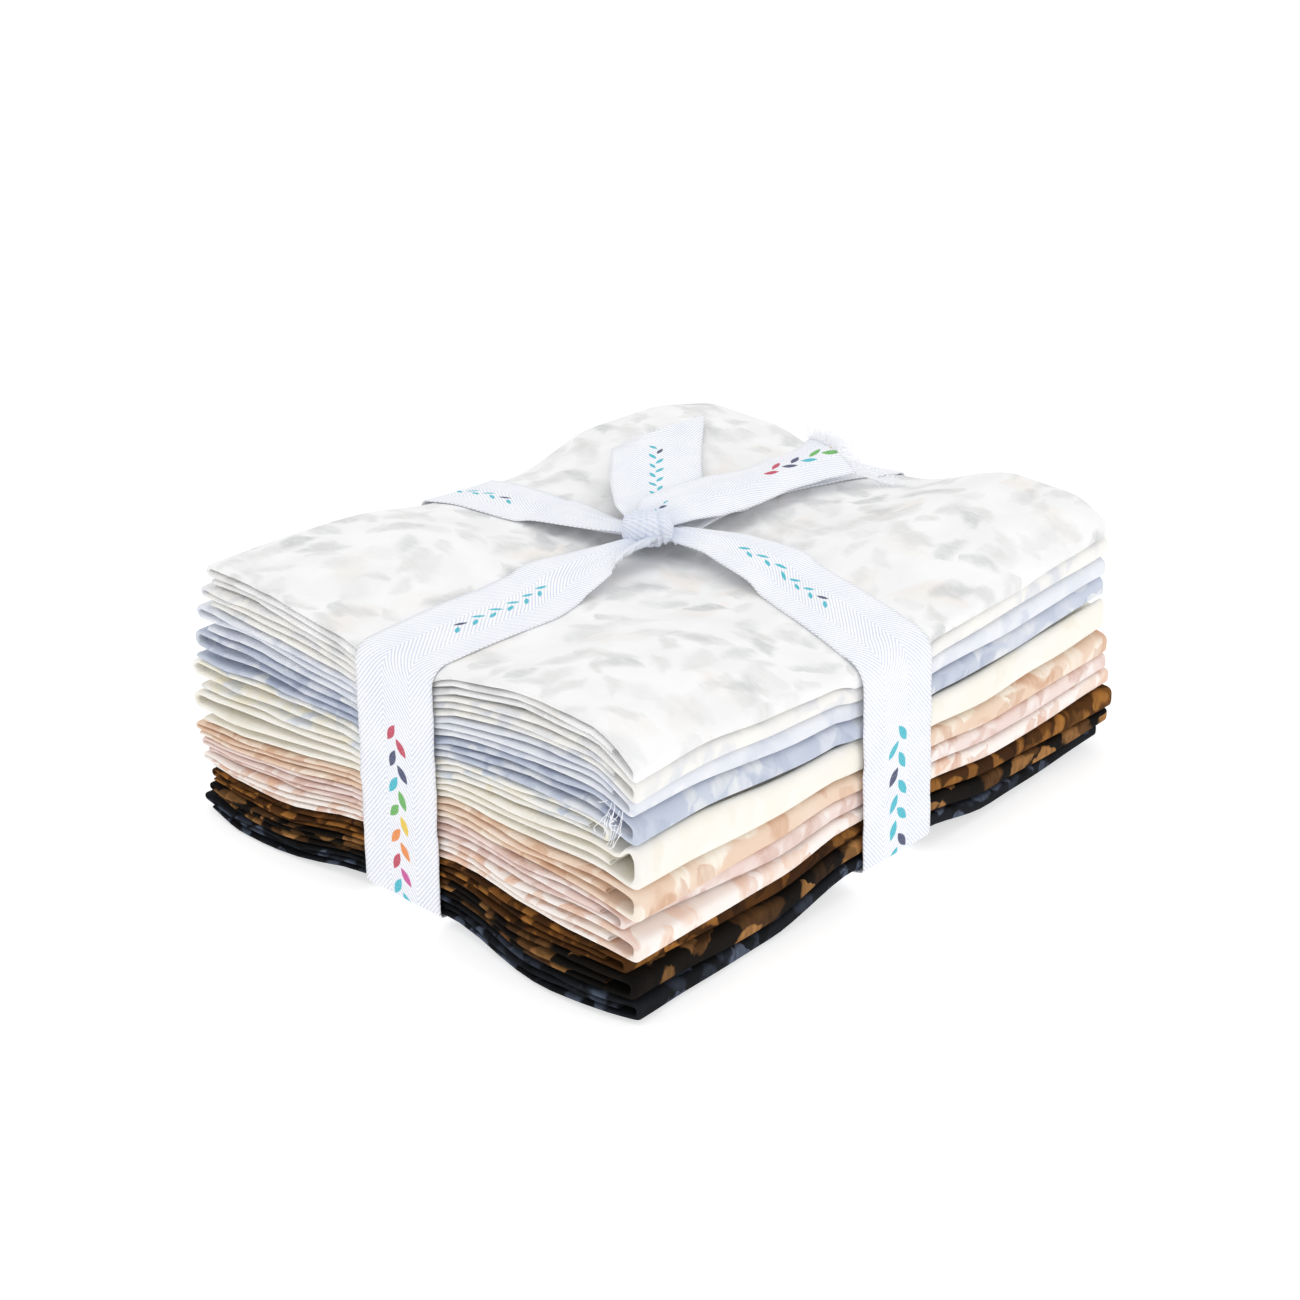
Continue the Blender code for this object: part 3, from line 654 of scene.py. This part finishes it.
def arm_on_top(arm, heading, along_x, end, gap, turned_edge, seed):
    """An arm's places from the knot out to where it bends down, as (out, across, height)."""
    knot = KNOT_CENTRE[0 if along_x else 1]
    outs = np.arange(arm[0][0], abs(end - knot), 1.4)
    outs = np.append(outs, abs(end - knot))[:, None]
    side, width, least = (curve([row[0] for row in arm], [row[i] for row in arm], outs) for i in (1, 2, 3))
    share = ACROSS + 0.0 * outs
    fold = -0.5 + turned_edge * np.clip(1 - outs / 21.0, 0, 1) ** 0.8
    turned = share < fold
    share = np.where(turned, 2 * fold - share, share)
    across = side + width * share
    out = knot + heading * outs + 0.0 * across
    bed = height(TOP, *((out, across) if along_x else (across, out))) + gap
    z = (bed + least + np.sqrt((bed - least) ** 2 + 1.0)) / 2
    loose = np.clip(1 - outs / 42.0, 0, 1) ** 1.5
    z = z + loose * (1.25 * gathers(ACROSS, seed) - 3.0 * ACROSS**2) + 0.07 * ripple(out, across, 20.0, seed)
    return out, across, z + np.where(turned, 0.45 + 0.8 * loose, 0.0)


def down_side(top, face, heading, along_x, foot_shift, bend, gap, seed):
    """Round the edge from an arm's end, down the side and round its foot, as (out, across, height)."""
    top_across, top_z = top[1][-1:], top[2][-1:]
    foot_across = foot_shift + TAPE_WIDTH * ACROSS
    foot_out = face - heading * FOOT_BEND + 0.0 * ACROSS
    foot_z = height(UNDER, *((foot_out, foot_across) if along_x else (foot_across, foot_out))) - gap
    turn = np.linspace(0, math.pi / 2, 12)[1:, None]
    fall = np.linspace(0, 1, 40)[1:-1, None]
    high, low = top_z - bend, foot_z + FOOT_BEND
    z = np.vstack([top_z - bend * (1 - np.cos(turn)), high + (low - high) * fall, foot_z + FOOT_BEND * (1 - np.sin(turn))])
    out = np.vstack([
        face - heading * bend * (1 - np.sin(turn)) + 0.0 * ACROSS,
        face + heading * np.sin(math.pi * fall) * 0.3 * waves(19.0 * fall + 2.0 * ACROSS, 6.0, seed),
        face - heading * FOOT_BEND * (1 - np.cos(turn)) + 0.0 * ACROSS,
    ])
    share = np.clip((top_z - z) / (top_z - foot_z), 0, 1)
    return out, top_across + (foot_across - top_across) * share, z


def wrap(along_x, arms, faces, bends, shifts, gaps, turned_edges, seed):
    """One turn round the stack: out along an arm, down, underneath, up the far side and back to the knot."""
    runs = []
    for i, heading in ((0, -1), (1, 1)):
        top = arm_on_top(arms[i], heading, along_x, faces[i] - heading * bends[i], gaps[0], turned_edges[i], seed + i)
        side = down_side(top, faces[i], heading, along_x, shifts[i], bends[i], gaps[1], seed + 5 + i)
        runs.append([np.vstack(pair) for pair in zip(top, side)])
    share = np.linspace(0, 1, 60)[1:-1, None]
    out = faces[0] + FOOT_BEND + (faces[1] - faces[0] - 2 * FOOT_BEND) * share + 0.0 * ACROSS
    across = shifts[0] + (shifts[1] - shifts[0]) * share + TAPE_WIDTH * ACROSS
    z = height(UNDER, *((out, across) if along_x else (across, out))) - gaps[1]
    out, across, z = (np.vstack([a, b, c[::-1]]) for a, b, c in zip(runs[0], (out, across, z), runs[1]))
    return np.stack([out, across, z] if along_x else [across, out, z], axis=-1)


def tail(rows, rise, seed):
    """A free end from its table, with the tape's crown across it and its pleats beside the knot."""
    table = np.array(rows)
    reach = np.concatenate([[0], np.cumsum(np.linalg.norm(np.diff(table[:, :2], axis=0), axis=1))])
    outs = np.append(np.arange(0, reach[-1], 1.3), reach[-1])[:, None]
    x, y, half_x, half_y, far_z, near_z = (curve(reach, table[:, i], outs) for i in range(6))
    loose = np.clip(1 - outs / 34.0, 0, 1) ** 1.4
    z = far_z + (near_z - far_z) * (ACROSS + 0.5) + rise * (1 - 4 * ACROSS**2) * (1 - 0.5 * loose)
    z = z + 1.15 * loose * gathers(ACROSS, seed) + 0.3 * waves(outs + 6 * ACROSS, 34.0, seed + 1)
    return np.stack([x + 2 * ACROSS * half_x, y + 2 * ACROSS * half_y, z], axis=-1)


# Creases of the knot's wrap: place along it from -1 to 1, depth mm, width, lean
KNOT_CREASES = ((-0.72, 0.5, 0.07, 0.05), (-0.38, 0.35, 0.05, 0.08), (-0.08, 0.4, 0.05, 0.0), (0.2, 0.3, 0.05, -0.08), (0.5, 1.0, 0.06, -0.1), (0.78, 0.4, 0.06, 0.0))


def knot():
    """The knot's wrap: the gathered tape wound once round, as a closed rounded body with its creases."""
    along = -np.cos(np.linspace(0, math.pi, 49))[:, None]
    around = np.linspace(0, 2 * math.pi, 57)[None, :]
    size = (1 - np.abs(along) ** 3.4) ** (1 / 2.6)
    sunk = sum(d * np.exp(-(((along - p - lean * np.sin(around)) / w) ** 2)) for p, d, w, lean in KNOT_CREASES)
    sunk = sunk - 0.22 * gathers(along * 1.4, 5) * np.clip(np.sin(around) + 0.6, 0, 1)
    flat = (np.abs(np.cos(around)) ** 2.6 + np.abs(np.sin(around)) ** 2.6) ** (-1 / 2.6)
    out = (KNOT_HALVES[1] - sunk) * size * flat * np.cos(around)
    z = (KNOT_HALVES[2] - sunk) * size * flat * np.sin(around)
    x = KNOT_HALVES[0] * along + 0.0 * around
    cos, sin = math.cos(KNOT_TURN), math.sin(KNOT_TURN)
    return np.stack([x * cos - out * sin, x * sin + out * cos, z], axis=-1) + KNOT_CENTRE


# Small printed sprigs of paired leaves, one to each place along the tape's repeat: each leaf's colour in
# turn, the step along the tape from leaf to leaf, half length and half width of a leaf, mm
TURQUOISE, NAVY, CRIMSON = (34, 186, 204), (30, 42, 92), (196, 34, 74)
LEAF_GREEN, YELLOW, ORANGE, MAGENTA = (92, 178, 70), (240, 204, 40), (240, 138, 40), (206, 60, 150)
SPRIG = ((TURQUOISE,) * 10 + (NAVY, TURQUOISE), 3.1, 2.1, 0.75)
POSY = (
    (CRIMSON, CRIMSON, NAVY, NAVY, TURQUOISE, LEAF_GREEN, LEAF_GREEN, YELLOW, ORANGE, ORANGE, CRIMSON, MAGENTA, TURQUOISE, TURQUOISE, LEAF_GREEN, YELLOW),
    3.6, 3.0, 1.3,
)
BOUGH = ((TURQUOISE, TURQUOISE, TURQUOISE, NAVY, TURQUOISE, TURQUOISE, TURQUOISE, TURQUOISE, NAVY, TURQUOISE), 3.9, 3.1, 1.4)
PRINTED = ((45.0, SPRIG), (128.0, POSY), (211.0, SPRIG), (294.0, BOUGH))
REPEAT = 318.0


def twill():
    """White twill: chevrons of slanting ribs in columns along the tape with painted shade in their grooves, painted
    shade round the knot, and the printed motifs.
    """
    finish = Finish("white herringbone twill", Roughness=0.85, Specular_IOR_Level=0.3, Sheen_Weight=0.1, Sheen_Roughness=0.5)
    cloth = finish.node("ShaderNodeUVMap", {"uv_map": "cloth"})["UV"]
    place = finish.node("ShaderNodeVectorMath", {"operation": "SCALE"}, {0: cloth, "Scale": 1000.0})["Vector"]
    part = finish.node("ShaderNodeSeparateXYZ", {}, {"Vector": place})
    across, along = part["X"], part["Y"]
    zigzag = (across + 1.5).maths("PINGPONG", 9.5)
    wander = finish.cloud(place, 4.0, 2.0)["Fac"]
    rib = ((along - zigzag * 1.25 + wander * 0.4) * (2 * math.pi / 1.45)).maths("SINE")
    fibre = finish.cloud(place, 0.5, 2.0, 0.6)["Fac"]
    tone = rib * 0.34 + fibre * 0.5 + finish.cloud(place, 12.0)["Fac"] * 0.3
    # The rib pattern's bluish low tone is painted shade in the grooves between the ribs; the fibre and cloud noise give
    # the cotton's own uneven tone.
    colour = finish.mix(paint(204, 212, 238), paint(255, 255, 255), tone.over(-0.14, 0.5))
    # Painted shade: the tape turns bluish grey within about 17 mm of the knot, where the gathers shade it.
    knot_place = finish.move("SUBTRACT", finish.node("ShaderNodeTexCoord")["Object"], tuple((KNOT_CENTRE - CENTRE) * MM))
    away = finish.node("ShaderNodeVectorMath", {"operation": "LENGTH"}, {0: knot_place})["Value"]
    colour = finish.mix(colour, paint(204, 215, 236), (1.0 - away.over(0.005, 0.017)) * (0.75 - fibre * 0.5))
    edges = ((across - TAPE_WIDTH / 2).size()).over(TAPE_WIDTH / 2 - 1.1, TAPE_WIDTH / 2 - 0.7)
    for middle, (leaf_colours, step, half_long, half_wide) in PRINTED:
        repeat = (along - middle + REPEAT / 2).maths("FLOORED_MODULO", REPEAT) - REPEAT / 2
        for i, leaf_colour in enumerate(leaf_colours):
            side = (-1) ** i
            lean = side * (0.55 + 0.15 * math.sin(2.4 * i))
            a = repeat - (i - len(leaf_colours) / 2 + 0.5) * step
            b = across - (TAPE_WIDTH / 2 + side * (half_wide + 0.3))
            u = (a * math.cos(lean) + b * math.sin(lean)) / half_long
            v = (b * math.cos(lean) - a * math.sin(lean)) / half_wide
            leaf = ((1.0 - u * u) - v.size()).over(0.0, 0.25)
            colour = finish.mix(colour, paint(*leaf_colour), leaf * (fibre.over(0.2, 0.5) * 0.3 + 0.62))
    finish.give(Base_Color=colour)
    finish.bump(rib * 0.5 * (1.0 - edges) + fibre * 0.25, 0.5, 0.0002)
    return finish.material


lengthwise = wrap(
    True, (LEFT_ARM, RIGHT_ARM), (LEFT_FACE, RIGHT + 0.9), (LEFT_BEND, 2.6), (3.0, 3.0), (0.1, 0.35), (0.27, 0.0), 21
)
crosswise = wrap(
    False, (FRONT_ARM, BACK_ARM), (FRONT_FACE, BACK + 0.9), (FRONT_BEND, 3.0), (3.0, 0.0), (0.1, 0.75), (0.0, 0.0), 31
)
back_tail, side_tail = tail(BACK_TAIL, 0.7, 41), tail(SIDE_TAIL, 2.2, 51)

# The parts lie along the tape in this order, each with the place where the tape's print begins on it, mm
tape_shape = bmesh.new()
for name, places, print_start in (
    ("back_tail", back_tail, 7.0),
    ("lengthwise", lengthwise, -8.0),
    ("knot", knot(), 230.0),
    ("crosswise", crosswise, 172.0),
    ("side_tail", side_tail, 50.0),
):
    closed = name == "knot"
    across = np.linspace(0.0, 9.0, places.shape[0])[:, None] if closed else ((ACROSS + 0.5) * TAPE_WIDTH)
    along = distances(places, 1)[None, :] if closed else distances(places, 0)[:, None]
    part_mesh = sheet_mesh(name, places, across, along + print_start)
    if not closed:
        thick = bpy.data.objects.new(name, part_mesh)
        bpy.context.scene.collection.objects.link(thick)
        band = thick.modifiers.new("thickness", "SOLIDIFY")
        band.thickness, band.offset = TAPE_THICKNESS * MM, 0.0
        part_mesh = bpy.data.meshes.new_from_object(thick.evaluated_get(bpy.context.evaluated_depsgraph_get()))
        bpy.data.objects.remove(thick)
    tape_shape.from_mesh(part_mesh)
bmesh.ops.remove_doubles(tape_shape, verts=tape_shape.verts, dist=1e-6)
tape_mesh = bpy.data.meshes.new("tie_tape")
tape_shape.to_mesh(tape_mesh)
tape_shape.free()
tape_mesh.materials.append(twill())


def thread_tree():
    """Geometry Nodes: a wavering thread at every point, along the point's own heading and reach."""
    tree = bpy.data.node_groups.new("threads", "GeometryNodeTree")
    sockets = {}
    for way, label, kind in (
        ("INPUT", "Roots", "NodeSocketGeometry"),
        ("INPUT", "Radius", "NodeSocketFloat"),
        ("INPUT", "Waver", "NodeSocketFloat"),
        ("INPUT", "Droop", "NodeSocketFloat"),
        ("INPUT", "Seed", "NodeSocketFloat"),
        ("INPUT", "Material", "NodeSocketMaterial"),
        ("OUTPUT", "Threads", "NodeSocketGeometry"),
    ):
        sockets[label] = tree.interface.new_socket(label, in_out=way, socket_type=kind).identifier

    def node(kind, settings=None, values=None):
        made = tree.nodes.new(kind)
        for setting, value in (settings or {}).items():
            setattr(made, setting, value)
        for socket, value in (values or {}).items():
            if isinstance(value, bpy.types.NodeSocket):
                tree.links.new(value, made.inputs[socket])
            else:
                made.inputs[socket].default_value = value
        return made

    given = node("NodeGroupInput").outputs
    line = node("GeometryNodeCurvePrimitiveLine", {}, {"Start": (0, 0, 0), "End": (0, 0, 1)}).outputs["Curve"]
    thread = node("GeometryNodeResampleCurve", {}, {"Curve": line, "Count": 8}).outputs["Curve"]
    heading = node("GeometryNodeInputNamedAttribute", {"data_type": "FLOAT_VECTOR"}, {"Name": "heading"})
    reach = node("GeometryNodeInputNamedAttribute", {"data_type": "FLOAT"}, {"Name": "reach"})
    facing = node("FunctionNodeAlignRotationToVector", {"axis": "Z"}, {"Vector": heading.outputs["Attribute"]})
    size = node("ShaderNodeCombineXYZ", {}, {"X": 1.0, "Y": 1.0, "Z": reach.outputs["Attribute"]})
    placed = node(
        "GeometryNodeInstanceOnPoints",
        {},
        {"Points": given["Roots"], "Instance": thread, "Rotation": facing.outputs[0], "Scale": size.outputs[0]},
    )
    loose = node("GeometryNodeRealizeInstances", {}, {"Geometry": placed.outputs[0]}).outputs[0]
    along = node("GeometryNodeSplineParameter").outputs["Factor"]
    bent = node("ShaderNodeMath", {"operation": "POWER"}, {0: along, 1: 1.5}).outputs[0]
    spot = node("GeometryNodeInputPosition").outputs[0]
    values = {"Vector": spot, "W": given["Seed"], "Scale": 330.0, "Detail": 1.0}
    noise = node("ShaderNodeTexNoise", {"noise_dimensions": "4D"}, values).outputs["Color"]
    centred = node("ShaderNodeVectorMath", {"operation": "SUBTRACT"}, {0: noise, 1: (0.5, 0.5, 0.5)}).outputs[0]
    waver = node("ShaderNodeMath", {"operation": "MULTIPLY"}, {0: bent, 1: given["Waver"]}).outputs[0]
    wave = node("ShaderNodeVectorMath", {"operation": "SCALE"}, {0: centred, "Scale": waver}).outputs[0]
    droop = node("ShaderNodeMath", {"operation": "MULTIPLY"}, {0: bent, 1: given["Droop"]}).outputs[0]
    fall = node("ShaderNodeVectorMath", {"operation": "SCALE"}, {0: (0.0, 0.0, -1.0), "Scale": droop}).outputs[0]
    shift = node("ShaderNodeVectorMath", {"operation": "ADD"}, {0: wave, 1: fall}).outputs[0]
    moved = node("GeometryNodeSetPosition", {}, {"Geometry": loose, "Offset": shift}).outputs[0]
    ring = node("GeometryNodeCurvePrimitiveCircle", {}, {"Resolution": 3, "Radius": given["Radius"]}).outputs["Curve"]
    values = {"Curve": moved, "Profile Curve": ring, "Fill Caps": True}
    body = node("GeometryNodeCurveToMesh", {}, values).outputs["Mesh"]
    whole = node("GeometryNodeRealizeInstances", {}, {"Geometry": body}).outputs[0]
    values = {"Geometry": whole, "Material": given["Material"]}
    painted = node("GeometryNodeSetMaterial", {}, values).outputs[0]
    node("NodeGroupOutput", {}, {"Threads": painted})
    return tree, sockets


THREADS, THREAD_INPUTS = thread_tree()


def threads(name, slot, material, roots, headings, reaches, radius, waver, droop, seed):
    """Loose threads from points in mm, each with its heading and its reach in mm."""
    mesh = bpy.data.meshes.new(name)
    mesh.from_pydata(((np.array(roots) - np.array(CENTRE)) * MM).tolist(), [], [])
    mesh.attributes.new("heading", "FLOAT_VECTOR", "POINT").data.foreach_set("vector", np.array(headings, float).ravel())
    mesh.attributes.new("reach", "FLOAT", "POINT").data.foreach_set("value", np.array(reaches, float) * MM)
    base = bpy.data.objects.new(name + "_roots", mesh)
    bpy.context.scene.collection.objects.link(base)
    grow = base.modifiers.new("threads", "NODES")
    grow.node_group = THREADS
    values = {"Radius": radius * MM, "Waver": waver * MM, "Droop": droop * MM, "Seed": seed, "Material": material}
    for label, value in values.items():
        grow[THREAD_INPUTS[label]] = value
    grown = bpy.data.meshes.new_from_object(base.evaluated_get(bpy.context.evaluated_depsgraph_get()))
    bpy.data.objects.remove(base)
    piece = bpy.data.objects.new(name, grown)
    bpy.context.scene.collection.objects.link(piece)
    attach(piece, "root")
    return piece


def cut_end(ends, count, heading, spread, reach, seed):
    """Roots, headings and reaches of the threads along a cut end, given as a path of points in mm."""
    random = np.random.default_rng(seed)
    ends = np.array(ends, float)
    far = np.concatenate([[0], np.cumsum(np.linalg.norm(np.diff(ends, axis=0), axis=1))])
    at = np.sort(random.uniform(0, far[-1], count))
    roots = np.stack([np.interp(at, far, ends[:, i]) for i in range(3)], axis=-1)
    headings = np.array(heading) + random.normal(0, spread, (count, 3))
    return roots, headings, reach * random.uniform(0.45, 1.15, count)


# The frayed threads' faint white glow is painted light, standing in for light shining through the thin cotton.
frayed = Finish("frayed cotton", Roughness=0.9, Specular_IOR_Level=0.2, Emission_Strength=0.12)
frayed.shader.inputs["Emission Color"].default_value = (1.0, 1.0, 1.0, 1.0)
frayed_place = frayed.node("ShaderNodeTexCoord")["Object"]
frayed.give(Base_Color=frayed.mix(paint(246, 247, 255), paint(255, 255, 255), frayed.cloud(frayed_place, 0.002)["Fac"]))

# The side end's cut is teased out along its width and on past its near corner, and the back one is crisp
side_cut = [*side_tail[-1], (71.0, -9.5, 69.8), (74.0, -11.5, 68.4), (76.5, -13.5, 67.2)]
tape_threads = (
    threads("side_fringe", "twill_tape", frayed.material, *cut_end(side_cut, 430, (0.9, 0.05, 0.05), 0.28, 8.5, 61), 0.06, 5.0, 1.6, 1.0),
    threads("side_fuzz", "twill_tape", frayed.material, *cut_end(side_cut[:12], 300, (0.45, 0.35, 0.6), 0.45, 5.5, 62), 0.04, 6.0, 0.3, 2.0),
    threads("back_fringe", "twill_tape", frayed.material, *cut_end(back_tail[-1], 70, (0.5, 0.8, 0.0), 0.3, 1.6, 63), 0.06, 1.6, 0.3, 3.0),
)

# A few threads pulled from the cut edge hang in loops at the near corner
random = np.random.default_rng(71)
corner_roots = np.array((LEFT - 1.6, FRONT + 5.0, 54.5)) + random.uniform(-1, 1, (18, 3)) * (0.5, 3.0, 4.0)
corner_headings = np.array((-0.75, -0.35, -0.35)) + random.normal(0, 0.5, (18, 3))
threads("corner_threads", "cotton_blue_grey", frayed.material, corner_roots, corner_headings, random.uniform(2.0, 6.0, 18), 0.1, 9.0, 0.8, 4.0)

tape = bpy.data.objects.new("tape", tape_mesh)
bpy.context.scene.collection.objects.link(tape)
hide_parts("tie_tape")
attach(tape, "root")
